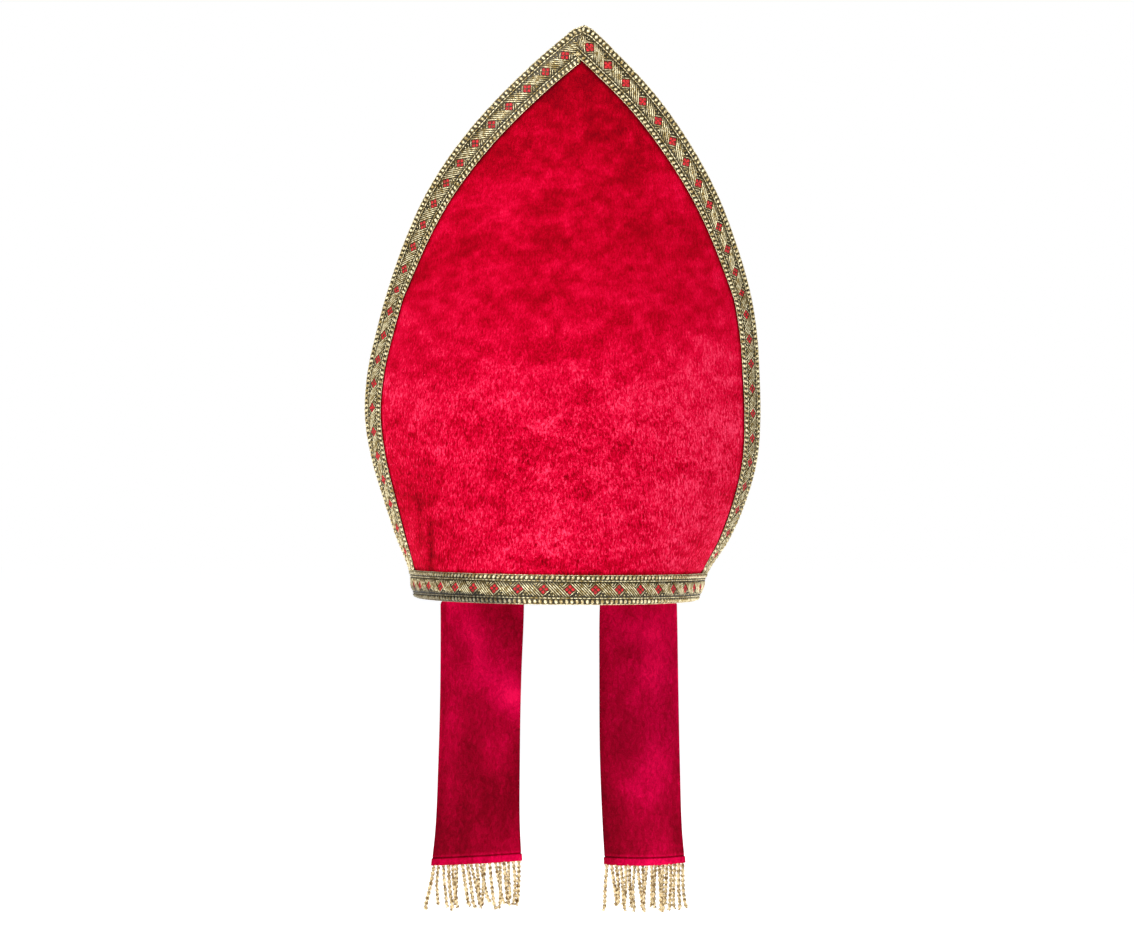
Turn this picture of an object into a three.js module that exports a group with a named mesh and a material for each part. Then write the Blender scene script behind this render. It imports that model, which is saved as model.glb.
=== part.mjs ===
// A bishop's mitre: two pointed velvet panels joined at their side seams, a folded gusset between
// their free edges, patterned gold ribbon along every panel edge and round the hem, and two fringed
// lappets that hang from the back hem. Millimetres, +Z up, the front faces -Y. The origin is the
// middle of the head opening, level with the hem.
import * as THREE from 'three';

// Cloth thicknesses and clearances.
const VELVET_WALL = 2.2;
const GUSSET_WALL = 1.3;
const RIBBON_WALL = 1.0;
const LAPPET_WALL = 2.4;
const FRINGE_WALL = 4.0;
const GAP = 0.35;
const TUCK_GAP = 0.75;

// Sizes of the flat pieces.
const RIBBON_WIDTH = 18;
const LAPPET_WIDTH = 63.5;
const LAPPET_TUCK = 13;
const LAPPET_BOTTOM = -168;
const FRINGE_LENGTH = 29;
const FRINGE_SPLAY = 1.05;

// The hat as it sits: turned a little about Y, with its point to the right of the opening's middle.
const LEAN = THREE.MathUtils.degToRad(0.6);
const POINT_X = 12.3;
const VALLEY_HEIGHT = 196;
const VALLEY_RISE = 5;

// Level sections of the hat. left and right are the side edges, cleft is how far each panel's free
// edge stands from the middle plane, crown is how far the panel's middle does, and arc is the half
// angle that the section's curve takes from the full ellipse, in degrees.
const SECTIONS = [
  { z: 0, left: -84.6, right: 84.2, cleft: 0, crown: 103.2, arc: 88 },
  { z: 18, left: -88.7, right: 90.6, cleft: 0, crown: 99.6, arc: 79 },
  { z: 36, left: -96.2, right: 102.3, cleft: 0, crown: 95.4, arc: 67 },
  { z: 60, left: -104.6, right: 112.8, cleft: 0, crown: 90, arc: 57 },
  { z: 84, left: -112.0, right: 119.3, cleft: 0, crown: 84.6, arc: 50 },
  { z: 110, left: -116.2, right: 121.2, cleft: 0, crown: 78.8, arc: 47 },
  { z: 135, left: -114.9, right: 120.5, cleft: 0, crown: 73.4, arc: 46 },
  { z: 160, left: -109.8, right: 118.8, cleft: 0, crown: 68.1, arc: 45.5 },
  { z: 185, left: -103.2, right: 114.6, cleft: 0.2, crown: 63, arc: 44 },
  { z: 215, left: -92.7, right: 105.2, cleft: 10, crown: 57.5, arc: 40 },
  { z: 245, left: -78.6, right: 92.7, cleft: 21, crown: 52.6, arc: 34 },
  { z: 275, left: -58.2, right: 75.1, cleft: 31, crown: 48.2, arc: 26 },
  { z: 305, left: -31.3, right: 52.3, cleft: 37.5, crown: 44.4, arc: 18 },
  { z: 325, left: -10.2, right: 32.9, cleft: 40, crown: 42.3, arc: 10 },
  { z: 335, left: 1.6, right: 22.4, cleft: 40.6, crown: 41.4, arc: 6 },
  { z: 339.5, left: 7.4, right: 16.8, cleft: 40.8, crown: 41.1, arc: 4 },
  { z: 340.6, left: 10.4, right: 14.2, cleft: 40.8, crown: 41, arc: 4 },
];
const BASE = SECTIONS[0].z;
const TIP = SECTIONS[SECTIONS.length - 1].z;
const CLEFT_START = 197;

// Lappets from the hem down. x is the middle of the strip, back is its distance behind the middle
// plane, turn is its angle from facing straight back, curl is how far its middle bulges out, slant
// is how much lower its right edge is cut than its left, and sag is how much lower its middle is.
const LAPPETS = {
  left: [
    { z: 0, x: -46.3, back: 84.5, turn: 36.5, curl: 6, slant: 0, sag: 0 },
    { z: -14, x: -46.4, back: 85.2, turn: 37, curl: 5, slant: 0, sag: 0 },
    { z: -50, x: -47.2, back: 86, turn: 39, curl: 3, slant: 0, sag: 0 },
    { z: -105, x: -48.4, back: 86.5, turn: 38.5, curl: 2, slant: 0, sag: 0 },
    { z: -148, x: -49.4, back: 86.5, turn: 35, curl: 1.4, slant: 0, sag: 0 },
    { z: -168, x: -50.0, back: 86.5, turn: 30, curl: 1, slant: 0, sag: 0.5 },
    { z: -197, x: -50.6, back: 86.5, turn: 30, curl: 1, slant: 0, sag: 0.5 },
  ],
  right: [
    { z: 0, x: 50.5, back: 81, turn: 43, curl: 6, slant: 0, sag: 0 },
    { z: -14, x: 50.5, back: 81.6, turn: 42, curl: 5, slant: 0, sag: 0 },
    { z: -50, x: 50.8, back: 82.4, turn: 41, curl: 3, slant: 0, sag: 0 },
    { z: -105, x: 51.6, back: 83, turn: 40, curl: 2.2, slant: 0, sag: 0 },
    { z: -148, x: 53.2, back: 83, turn: 40.5, curl: 2.2, slant: -2, sag: 0.5 },
    { z: -168, x: 54.6, back: 83, turn: 40, curl: 2.4, slant: -5, sag: 1.5 },
    { z: -197, x: 55.4, back: 83, turn: 40, curl: 2.4, slant: -5, sag: 1.5 },
  ],
};

// Mesh fineness.
const PANEL_COLUMNS = 18;
const PANEL_LOW_ROWS = 7;
const PANEL_HIGH_ROWS = 23;
const TRIM_ROWS = 34;
const TRIM_COLUMNS = 3;
const HEM_COLUMNS = 64;
const GUSSET_COLUMNS = 22;
const GUSSET_ROWS = 8;
const LAPPET_COLUMNS = 6;

const velvet = new THREE.MeshStandardMaterial({ color: 0xd0103a, roughness: 0.85, metalness: 0 });
const lappetVelvet = new THREE.MeshStandardMaterial({ color: 0xa8052f, roughness: 0.7, metalness: 0 });
const ribbon = new THREE.MeshStandardMaterial({ color: 0xa39556, roughness: 0.45, metalness: 0.4 });
const bullion = new THREE.MeshStandardMaterial({ color: 0xd9c98f, roughness: 0.4, metalness: 0.4 });

// A column of a table at height z: a cubic through its rows, which may run up or down in z.
function column(rows, key, z) {
  const sign = Math.sign(rows[1].z - rows[0].z);
  let i = 0;
  while (i < rows.length - 2 && sign * (rows[i + 1].z - z) < 0) {
    i += 1;
  }
  const slope = (a, b) => (rows[b][key] - rows[a][key]) / (rows[b].z - rows[a].z);
  const tangent = (k) => {
    if (k === 0 || k === rows.length - 1) {
      return slope(Math.max(k - 1, 0), Math.min(k + 1, rows.length - 1));
    }
    const before = Math.abs(rows[k].z - rows[k - 1].z);
    const after = Math.abs(rows[k + 1].z - rows[k].z);
    return (slope(k - 1, k) * after + slope(k, k + 1) * before) / (before + after);
  };
  const span = rows[i + 1].z - rows[i].z;
  const t = THREE.MathUtils.clamp((z - rows[i].z) / span, 0, 1);
  const t2 = t * t;
  const t3 = t2 * t;
  return (2 * t3 - 3 * t2 + 1) * rows[i][key] + (t3 - 2 * t2 + t) * span * tangent(i)
    + (3 * t2 - 2 * t3) * rows[i + 1][key] + (t3 - t2) * span * tangent(i + 1);
}

// A panel's outer face: u runs from -1 at the left edge to 1 at the right one, and side is -1 for
// the front panel and 1 for the back one.
function panelPoint(side, u, z) {
  const left = column(SECTIONS, 'left', z);
  const right = column(SECTIONS, 'right', z);
  const arc = THREE.MathUtils.degToRad(column(SECTIONS, 'arc', z));
  const cleft = Math.max(column(SECTIONS, 'cleft', z), z > CLEFT_START ? 0 : GAP / 2, GAP / 2);
  const crown = column(SECTIONS, 'crown', z);
  const x = (left + right) / 2 + ((right - left) / 2) * Math.sin(u * arc) / Math.sin(arc);
  const bulge = (Math.cos(u * arc) - Math.cos(arc)) / (1 - Math.cos(arc));
  return new THREE.Vector3(x, side * (cleft + (crown - cleft) * bulge), z);
}

function panelSlopes(side, u, z) {
  const du = 0.002;
  const dz = z > TIP - 0.1 ? -0.05 : 0.05;
  const here = panelPoint(side, u, z);
  const along = panelPoint(side, u + du, z).sub(here).divideScalar(du);
  const up = panelPoint(side, u, z + dz).sub(here).divideScalar(dz);
  return { here, along, up };
}

function panelNormal(side, u, z) {
  const { along, up } = panelSlopes(side, u, z);
  return along.cross(up).multiplyScalar(-side).normalize();
}

// A point off the panel's outer face, outwards where off is positive.
function offPanel(side, u, z, off) {
  return panelPoint(side, u, z).addScaledVector(panelNormal(side, u, z), off);
}

// How far out, as u, the inside of a panel's wall can go before it meets the other panel.
function innerReach(side, end, z) {
  const clear = (u) => side * offPanel(side, u, z, -VELVET_WALL).y >= GAP / 2;
  if (clear(end)) {
    return end;
  }
  let inside = 0.6 * end;
  let outside = end;
  for (let step = 0; step < 30; step += 1) {
    const middle = (inside + outside) / 2;
    if (clear(middle)) {
      inside = middle;
    } else {
      outside = middle;
    }
  }
  return inside;
}

// Heights from low to high, evenly spaced along the hat's outline.
function outlineHeights(low, high, count, key) {
  const samples = 600;
  const heights = [low];
  const lengths = [0];
  for (let i = 1; i <= samples; i += 1) {
    const z = THREE.MathUtils.lerp(low, high, i / samples);
    const run = column(SECTIONS, key, z) - column(SECTIONS, key, heights[i - 1]);
    heights.push(z);
    lengths.push(lengths[i - 1] + Math.hypot(run, z - heights[i - 1]));
  }
  return Array.from({ length: count + 1 }, (_, i) => {
    const target = (lengths[samples] * i) / count;
    const k = Math.max(1, lengths.findIndex((length) => length >= target - 1e-9));
    const t = (target - lengths[k - 1]) / (lengths[k] - lengths[k - 1]);
    return THREE.MathUtils.lerp(heights[k - 1], heights[k], t);
  });
}

// From a panel's edge, a step of the given length over its face, square to the edge.
function inwardFrom(side, end, z, distance) {
  const steps = 6;
  const edge = panelPoint(side, end, z);
  const dz = z > TIP - 0.5 ? -0.2 : 0.2;
  const tangent = panelPoint(side, end, z + dz).sub(edge).normalize();
  const heading = panelNormal(side, end, z).cross(tangent).normalize();
  const middle = panelPoint(side, 0, z).sub(edge);
  if (heading.dot(middle) < 0) {
    heading.negate();
  }
  let u = end;
  let height = z;
  for (let i = 0; i < steps; i += 1) {
    const { along, up } = panelSlopes(side, u, height);
    const a = along.dot(along);
    const b = along.dot(up);
    const c = up.dot(up);
    const p = heading.dot(along);
    const q = heading.dot(up);
    const share = a * c - b * b;
    u += ((p * c - q * b) / share) * (distance / steps);
    height += ((q * a - p * b) / share) * (distance / steps);
  }
  return { u, z: height };
}

// Closes two grids of points, the two faces of a cloth, with a rim. A looped cloth joins its ends.
function clothGeometry(outer, inner, looped = false) {
  const rows = outer.length;
  const columns = outer[0].length;
  const at = (face, i, j) => (face * rows + i) * columns + (j % columns);
  const index = [];
  const quad = (a, b, c, d) => index.push(a, b, c, a, c, d);
  const lastColumn = looped ? columns : columns - 1;
  for (let i = 0; i < rows - 1; i += 1) {
    for (let j = 0; j < lastColumn; j += 1) {
      quad(at(0, i, j), at(0, i, j + 1), at(0, i + 1, j + 1), at(0, i + 1, j));
      quad(at(1, i, j), at(1, i + 1, j), at(1, i + 1, j + 1), at(1, i, j + 1));
    }
    if (!looped) {
      quad(at(0, i, 0), at(0, i + 1, 0), at(1, i + 1, 0), at(1, i, 0));
      quad(at(0, i, lastColumn), at(1, i, lastColumn), at(1, i + 1, lastColumn), at(0, i + 1, lastColumn));
    }
  }
  for (let j = 0; j < lastColumn; j += 1) {
    quad(at(0, 0, j), at(1, 0, j), at(1, 0, j + 1), at(0, 0, j + 1));
    quad(at(0, rows - 1, j), at(0, rows - 1, j + 1), at(1, rows - 1, j + 1), at(1, rows - 1, j));
  }
  const points = [...outer.flat(), ...inner.flat()];
  let volume = 0;
  for (let k = 0; k < index.length; k += 3) {
    const [a, b, c] = [points[index[k]], points[index[k + 1]], points[index[k + 2]]];
    volume += a.dot(b.clone().cross(c));
  }
  if (volume < 0) {
    index.reverse();
  }
  const geometry = new THREE.BufferGeometry().setFromPoints(points);
  geometry.setIndex(index);
  geometry.computeVertexNormals();
  return geometry;
}

function grid(rows, columns, pointAt) {
  return Array.from({ length: rows + 1 }, (_, i) =>
    Array.from({ length: columns + 1 }, (_, j) => pointAt(i / rows, j / columns)));
}

function namedMesh(name, geometry, material) {
  const mesh = new THREE.Mesh(geometry, material);
  mesh.name = name;
  return mesh;
}

// One of the two big panels, from just above the hem's lower edge to the point.
function panel(side) {
  const hemLift = 0.8;
  const flareTop = 48;
  const heights = [
    ...outlineHeights(BASE + hemLift, flareTop, PANEL_LOW_ROWS, 'right'),
    ...outlineHeights(flareTop, TIP, PANEL_HIGH_ROWS, 'right').slice(1),
  ];
  const rows = heights.length - 1;
  const outer = grid(rows, PANEL_COLUMNS, (v, w) =>
    panelPoint(side, 2 * w - 1, heights[Math.round(v * rows)]));
  const inner = grid(rows, PANEL_COLUMNS, (v, w) => {
    const z = heights[Math.round(v * rows)];
    const end = w < 0.5 ? -1 : 1;
    return offPanel(side, innerReach(side, end, z) * Math.abs(2 * w - 1), z, -VELVET_WALL);
  });
  return clothGeometry(outer, inner);
}

// The ribbon up one edge of a panel, from the hem ribbon to the mitre at the point.
function sideTrim(side, end) {
  const lowest = BASE + RIBBON_WIDTH + GAP;
  const heights = outlineHeights(lowest, TIP - 0.3, TRIM_ROWS, end < 0 ? 'left' : 'right');
  const reach = heights.map((z) => {
    let widest = RIBBON_WIDTH;
    for (let width = 0.6; width <= RIBBON_WIDTH; width += 0.3) {
      const spot = inwardFrom(side, end, z, width);
      const x = panelPoint(side, spot.u, spot.z).x;
      if (end * (x - POINT_X) < GAP / 2 + 0.2) {
        widest = Math.max(width - 0.3, 0.4);
        break;
      }
    }
    return widest;
  });
  const face = (off) => grid(TRIM_ROWS, TRIM_COLUMNS, (v, w) => {
    const i = Math.round(v * TRIM_ROWS);
    const spot = inwardFrom(side, end, heights[i], reach[i] * w);
    return offPanel(side, spot.u, Math.max(spot.z, lowest), off);
  });
  return clothGeometry(face(GAP + RIBBON_WALL), face(GAP));
}

// The ribbon round the hem, one closed loop over both panels.
function hemTrim() {
  const face = (off) => grid(2, HEM_COLUMNS, (v, w) => {
    const z = BASE + RIBBON_WIDTH * v;
    const around = 4 * w;
    const side = around < 2 ? -1 : 1;
    const u = around < 2 ? around - 1 : 3 - around;
    const point = offPanel(side, u, z, off);
    if (Math.abs(Math.abs(u) - 1) < 1e-6) {
      point.x = panelPoint(side, u, z).x + u * off * 1.06;
      point.y = 0;
    }
    return point;
  }).map((row) => row.slice(0, -1));
  return clothGeometry(face(GAP + RIBBON_WALL), face(GAP), true);
}

// The folded velvet between the panels' free edges: a valley that runs from side to side.
function gusset() {
  const sideHeights = (key) => outlineHeights(CLEFT_START, TIP - 3, GUSSET_COLUMNS / 2, key);
  const climb = sideHeights('left').map((z) => ({ end: -1, z }));
  const fall = sideHeights('right').map((z) => ({ end: 1, z })).reverse();
  const stations = [...climb, ...fall];
  const face = (share) => grid(GUSSET_ROWS, stations.length - 1, (v, w) => {
    const { end, z } = stations[Math.round(w * (stations.length - 1))];
    const rim = offPanel(-1, end, z, -VELVET_WALL - GAP);
    const depth = Math.abs(rim.y);
    const q = 2 * v - 1;
    const fold = (Math.hypot(q, 0.12) - 0.12) / (Math.hypot(1, 0.12) - 0.12);
    const valley = Math.min(VALLEY_HEIGHT + VALLEY_RISE * Math.cos(rim.x / 70), z - 4);
    const steep = (z - valley) / depth;
    const thick = GUSSET_WALL * Math.hypot(1, steep);
    return new THREE.Vector3(rim.x, q * depth, valley + (z - thick - valley) * fold + share * thick);
  });
  return clothGeometry(face(1), face(0));
}

// A point on a lappet: w from 0 to 1 across it, off outwards from its middle layer.
function lappetPoint(rows, w, z, off) {
  const turn = THREE.MathUtils.degToRad(column(rows, 'turn', z));
  const across = LAPPET_WIDTH * (w - 0.5);
  const outwards = new THREE.Vector2(Math.sign(rows[0].x) * Math.sin(turn), Math.cos(turn));
  const sideways = new THREE.Vector2(outwards.y, -outwards.x);
  const crest = 1 - (2 * w - 1) ** 2;
  const bulge = column(rows, 'curl', z) * crest + off;
  return new THREE.Vector3(
    column(rows, 'x', z) + sideways.x * across + outwards.x * bulge,
    column(rows, 'back', z) + sideways.y * across + outwards.y * bulge,
    z - column(rows, 'slant', z) * (w - 0.5) - column(rows, 'sag', z) * crest,
  );
}

// The same point where the lappet is sewn flat against the inside of the back panel.
function tuckedPoint(rows, w, z, off) {
  const height = Math.max(z, BASE + 1);
  const across = LAPPET_WIDTH * (w - 0.5);
  let u = 0;
  for (let step = 0; step < 12; step += 1) {
    u += (rows[0].x - panelPoint(1, u, height).x) / panelSlopes(1, u, height).along.x;
  }
  u += across / panelSlopes(1, u, height).along.length();
  const depth = VELVET_WALL + TUCK_GAP + LAPPET_WALL / 2;
  const point = offPanel(1, u, height, off - depth);
  point.z = z;
  return point;
}

function lappet(rows) {
  const tucked = 3;
  const drops = [LAPPET_TUCK, LAPPET_TUCK / 2, 0.3, -4, -8, -14, -28, -46, -68, -92, -116, -138, -155,
    LAPPET_BOTTOM];
  const face = (off) => drops.map((z, i) => Array.from({ length: LAPPET_COLUMNS + 1 }, (_, j) => {
    const w = j / LAPPET_COLUMNS;
    const free = i < tucked ? 0 : THREE.MathUtils.smoothstep(-z, 0, 9);
    return tuckedPoint(rows, w, z, off).lerp(lappetPoint(rows, w, Math.min(z, 0), off), free);
  }));
  return clothGeometry(face(LAPPET_WALL / 2), face(-LAPPET_WALL / 2));
}

// The outer form of a lappet's fringe.
function fringe(rows) {
  const top = LAPPET_BOTTOM - GAP;
  const levels = 4;
  const face = (end) => grid(levels, LAPPET_COLUMNS + 2, (v, w) => {
    const spread = 1 + (FRINGE_SPLAY - 1) * v;
    const thick = THREE.MathUtils.lerp(LAPPET_WALL * 0.8, FRINGE_WALL, v ** 0.5);
    return lappetPoint(rows, 0.5 + (w - 0.5) * spread, top - FRINGE_LENGTH * v, end * thick / 2);
  });
  return clothGeometry(face(1), face(-1));
}

const hat = new THREE.Group();
hat.rotation.y = LEAN;
hat.add(
  namedMesh('front_panel', panel(-1), velvet),
  namedMesh('back_panel', panel(1), velvet.clone()),
  namedMesh('gusset', gusset(), velvet.clone()),
  namedMesh('front_trim_left', sideTrim(-1, -1), ribbon),
  namedMesh('front_trim_right', sideTrim(-1, 1), ribbon.clone()),
  namedMesh('back_trim_left', sideTrim(1, -1), ribbon.clone()),
  namedMesh('back_trim_right', sideTrim(1, 1), ribbon.clone()),
  namedMesh('hem_trim', hemTrim(), ribbon.clone()),
);

const mitre = new THREE.Group();
mitre.add(hat);
for (const [name, rows] of Object.entries(LAPPETS)) {
  mitre.add(
    namedMesh(`lappet_${name}`, lappet(rows), lappetVelvet.clone()),
    namedMesh(`fringe_${name}`, fringe(rows), bullion.clone()),
  );
}

export default mitre;
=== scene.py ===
import math

import bmesh
import bpy
import numpy as np
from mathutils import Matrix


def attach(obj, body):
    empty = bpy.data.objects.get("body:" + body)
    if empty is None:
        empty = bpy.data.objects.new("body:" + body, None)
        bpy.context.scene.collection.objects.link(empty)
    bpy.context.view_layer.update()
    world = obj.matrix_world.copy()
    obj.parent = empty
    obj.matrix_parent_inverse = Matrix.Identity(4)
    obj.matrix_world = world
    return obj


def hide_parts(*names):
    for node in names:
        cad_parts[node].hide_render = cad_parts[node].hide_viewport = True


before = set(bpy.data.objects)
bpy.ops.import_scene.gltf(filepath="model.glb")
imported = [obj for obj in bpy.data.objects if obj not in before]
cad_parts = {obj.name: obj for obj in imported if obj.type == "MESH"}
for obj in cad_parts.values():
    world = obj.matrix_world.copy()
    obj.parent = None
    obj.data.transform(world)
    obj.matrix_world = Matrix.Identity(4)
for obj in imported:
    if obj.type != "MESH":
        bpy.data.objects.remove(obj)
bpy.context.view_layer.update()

# A bishop's mitre in red velvet with patterned gold ribbon and two fringed lappets. Shapes are
# worked out in millimetres and written in metres. The front faces -Y, and +Z is up.
MM = 0.001
rng = np.random.default_rng(33)

# Cloth thicknesses and clearances.
VELVET_WALL = 2.0
GUSSET_WALL = 1.2
LAPPET_WALL = 2.3
GAP = 0.35
TUCK_GAP = 0.75

# Sizes of the flat pieces.
RIBBON_WIDTH = 18.0
HEM_HEIGHT = 16.6
LAPPET_WIDTH = 63.5
LAPPET_TUCK = 13.0
LAPPET_BOTTOM = -168.0

# The hat as it sits, turned a little about Y, with its point right of the opening's middle.
LEAN = math.radians(0.6)
POINT_X = 12.3
VALLEY_HEIGHT = 196.0
VALLEY_RISE = 5.0
CLEFT_START = 197.0


def named_columns(names, rows):
    return dict(zip(names.split(), np.array(rows, float).T))


# Level sections: the side edges, how far the free edge and the crown of each panel stand from the
# middle plane, and the half angle that the curve takes from the full ellipse, in degrees.
SECTIONS = named_columns(
    "z left right cleft crown arc",
    [
        (0, -84.6, 84.2, 0, 103.2, 88),
        (18, -88.7, 90.6, 0, 99.6, 79),
        (36, -96.2, 102.3, 0, 95.4, 67),
        (60, -104.6, 112.8, 0, 90, 57),
        (84, -112.0, 119.3, 0, 84.6, 50),
        (110, -116.2, 121.2, 0, 78.8, 47),
        (135, -114.9, 120.5, 0, 73.4, 46),
        (160, -109.8, 118.8, 0, 68.1, 45.5),
        (185, -103.2, 114.6, 0.2, 63, 44),
        (215, -92.7, 105.2, 10, 57.5, 40),
        (245, -78.6, 92.7, 21, 52.6, 34),
        (275, -58.2, 75.1, 31, 48.2, 26),
        (305, -31.3, 52.3, 37.5, 44.4, 18),
        (325, -10.2, 32.9, 40, 42.3, 10),
        (335, 1.6, 22.4, 40.6, 41.4, 6),
        (339.5, 7.4, 16.8, 40.8, 41.1, 4),
        (340.6, 10.4, 14.2, 40.8, 41, 4),
    ],
)
TIP = SECTIONS["z"][-1]

# The lappets from the hem down: the middle of the strip, its distance behind the middle plane,
# its angle from facing straight back, how far its middle bulges, how much lower its right edge
# is cut than its left, and how much lower its middle hangs.
LAPPET_COLUMNS = "z x back turn curl slant sag"
LAPPETS = {
    "left": named_columns(
        LAPPET_COLUMNS,
        [
            (0, -46.3, 84.5, 36.5, 6, 0, 0),
            (-14, -46.4, 85.2, 37, 5, 0, 0),
            (-50, -47.2, 86, 39, 3, 0, 0),
            (-105, -48.4, 86.5, 38.5, 2, 0, 0),
            (-148, -49.4, 86.5, 35, 1.4, 0, 0),
            (-168, -50.0, 86.5, 30, 1, 0, 0.5),
            (-197, -50.6, 86.5, 30, 1, 0, 0.5),
        ],
    ),
    "right": named_columns(
        LAPPET_COLUMNS,
        [
            (0, 50.5, 81, 43, 6, 0, 0),
            (-14, 50.5, 81.6, 42, 5, 0, 0),
            (-50, 50.8, 82.4, 41, 3, 0, 0),
            (-105, 51.6, 83, 40, 2.2, 0, 0),
            (-148, 53.2, 83, 40.5, 2.2, -2, 0.5),
            (-168, 54.6, 83, 40, 2.4, -5, 1.5),
            (-197, 55.4, 83, 40, 2.4, -5, 1.5),
        ],
    ),
}


# ---------------------------------------------------------------- camera and light

camera = bpy.data.objects.new("camera", bpy.data.cameras.new("camera"))
bpy.context.scene.collection.objects.link(camera)
camera.location = (0.0063, -2.5, 0.0815)
camera.rotation_euler = (math.radians(90), 0, 0)
camera.data.sensor_width = 36
camera.data.lens = 131.5
bpy.context.scene.camera = camera
bpy.context.scene.view_settings.view_transform = "Standard"


def linear(hex_colour):
    """An sRGB hex colour as linear red, green, blue and alpha."""
    parts = [int(hex_colour[i : i + 2], 16) / 255 for i in (1, 3, 5)]
    parts = [c / 12.92 if c <= 0.04045 else ((c + 0.055) / 1.055) ** 2.4 for c in parts]
    return (*parts, 1.0)


def add_node(tree, kind, settings=None, links=None):
    """Adds a node: settings name its sockets or its properties, links name its input sockets."""
    node = tree.nodes.new(kind)
    for name, value in (settings or {}).items():
        if isinstance(name, int) or name in node.inputs:
            node.inputs[name].default_value = value
        else:
            setattr(node, name, value)
    for name, source in (links or {}).items():
        tree.links.new(source, node.inputs[name])
    return node


def area_light(name, place, aim, size, power, colour="#FFFFFF"):
    lamp = bpy.data.lights.new(name, "AREA")
    lamp.shape = "RECTANGLE"
    lamp.size, lamp.size_y = size
    lamp.energy = power
    lamp.color = linear(colour)[:3]
    holder = bpy.data.objects.new(name, lamp)
    holder.location = place
    away = np.array(place) - np.array(aim)
    holder.rotation_euler = (
        math.atan2(math.hypot(away[0], away[1]), away[2]),
        0,
        math.atan2(away[0], -away[1]),
    )
    bpy.context.scene.collection.objects.link(holder)


area_light("key_softbox", (-1.1, -1.9, 1.5), (0, 0, 0.1), (1.0, 1.0), 44)
area_light("fill_softbox", (1.7, -1.7, 0.5), (0, 0, 0.1), (1.0, 1.4), 11)
area_light("back_softbox", (0.6, 2.2, 1.6), (0, 0, 0.1), (1.6, 1.2), 30)

world = bpy.data.worlds.new("studio")
bpy.context.scene.world = world
world.use_nodes = True
world.node_tree.nodes.clear()
seen = add_node(world.node_tree, "ShaderNodeLightPath")
white = add_node(world.node_tree, "ShaderNodeBackground", {"Color": (1, 1, 1, 1), "Strength": 1.0})
soft = add_node(
    world.node_tree, "ShaderNodeBackground", {"Color": linear("#F4F6FF"), "Strength": 0.3}
)
studio = add_node(
    world.node_tree,
    "ShaderNodeMixShader",
    links={0: seen.outputs["Is Camera Ray"], 1: soft.outputs[0], 2: white.outputs[0]},
)
add_node(world.node_tree, "ShaderNodeOutputWorld", links={"Surface": studio.outputs[0]})


# ---------------------------------------------------------------- materials


def new_material(name):
    material = bpy.data.materials.new(name)
    material.use_nodes = True
    material.node_tree.nodes.clear()
    return material, material.node_tree


def object_pattern(tree, scale, detail=2.0, roughness=0.5, distortion=0.0):
    """Noise on Object coordinates, with a size in each direction given as repeats a metre."""
    place = add_node(tree, "ShaderNodeTexCoord")
    stretched = add_node(
        tree, "ShaderNodeMapping", {"Scale": scale}, {"Vector": place.outputs["Object"]}
    )
    return add_node(
        tree,
        "ShaderNodeTexNoise",
        {"Scale": 1.0, "Detail": detail, "Roughness": roughness, "Distortion": distortion},
        {"Vector": stretched.outputs[0]},
    ).outputs["Fac"]


def blend(tree, operation, first, second):
    """first operation second, where either may be a socket or a number."""
    node = add_node(tree, "ShaderNodeMath", {"operation": operation})
    for socket, value in ((0, first), (1, second)):
        if isinstance(value, (int, float)):
            node.inputs[socket].default_value = value
        else:
            tree.links.new(value, node.inputs[socket])
    return node.outputs[0]


def colour_ramp(tree, shade, colours):
    """Colours by shade. A new ramp has two steps, which take the first two colours."""
    ramp = add_node(tree, "ShaderNodeValToRGB", links={"Fac": shade})
    steps = ramp.color_ramp.elements
    for i, (place, colour) in enumerate(colours):
        step = steps[i] if i < 2 else steps.new(place)
        step.position = place
        step.color = linear(colour)
    return ramp.outputs["Color"]


def attribute(tree, name):
    return add_node(tree, "ShaderNodeAttribute", {"attribute_name": name}).outputs["Fac"]


def bumped(tree, height, strength, distance):
    settings = {"Strength": strength, "Distance": distance}
    return add_node(tree, "ShaderNodeBump", settings, {"Height": height}).outputs[0]


def finish_surface(tree, settings, links=None):
    surface = add_node(tree, "ShaderNodeBsdfPrincipled", settings, links)
    add_node(tree, "ShaderNodeOutputMaterial", links={"Surface": surface.outputs[0]})


def velvet(name, colours, pile, streak, sheen_tint, sheen_weight, grain=0.35, roughness=0.8):
    """Cut-pile velvet, shaded by a point attribute: patches of brushed pile, with painted sheen and
    painted shade.
    """
    material, tree = new_material(name)
    streaks = object_pattern(tree, streak, roughness=0.55, distortion=0.9)
    grains = object_pattern(tree, (pile, pile, pile), roughness=0.7)
    lean = blend(tree, "MULTIPLY", blend(tree, "SUBTRACT", streaks, 0.5), attribute(tree, "tuft"))
    speck = blend(tree, "MULTIPLY", blend(tree, "SUBTRACT", grains, 0.5), grain)
    shade = blend(tree, "ADD", attribute(tree, "pile_and_painted_light"), blend(tree, "ADD", lean, speck))
    height = blend(tree, "ADD", streaks, blend(tree, "MULTIPLY", grains, 0.6))
    finish_surface(
        tree,
        {
            "Roughness": roughness,
            "Specular IOR Level": 0.02,
            "Sheen Weight": sheen_weight,
            "Sheen Roughness": 0.35,
            "Sheen Tint": linear(sheen_tint),
        },
        {
            "Base Color": colour_ramp(tree, shade, colours),
            "Normal": bumped(tree, height, 0.6, 0.0012),
        },
    )
    return material


# Polyester plush velvet, its pile brushed into soft patches about 10 to 20 mm across, with fine
# upright streaks 1 to 2 mm wide where the tufts part.
panel_velvet = velvet(
    "red_plush_velvet",
    [(0.0, "#60000A"), (1.0, "#FF4468"), (0.34, "#A00014"), (0.52, "#C20024"), (0.72, "#E20A3A")],
    1500,
    (950, 950, 390),
    "#FF0830",
    0.3,
)
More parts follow.
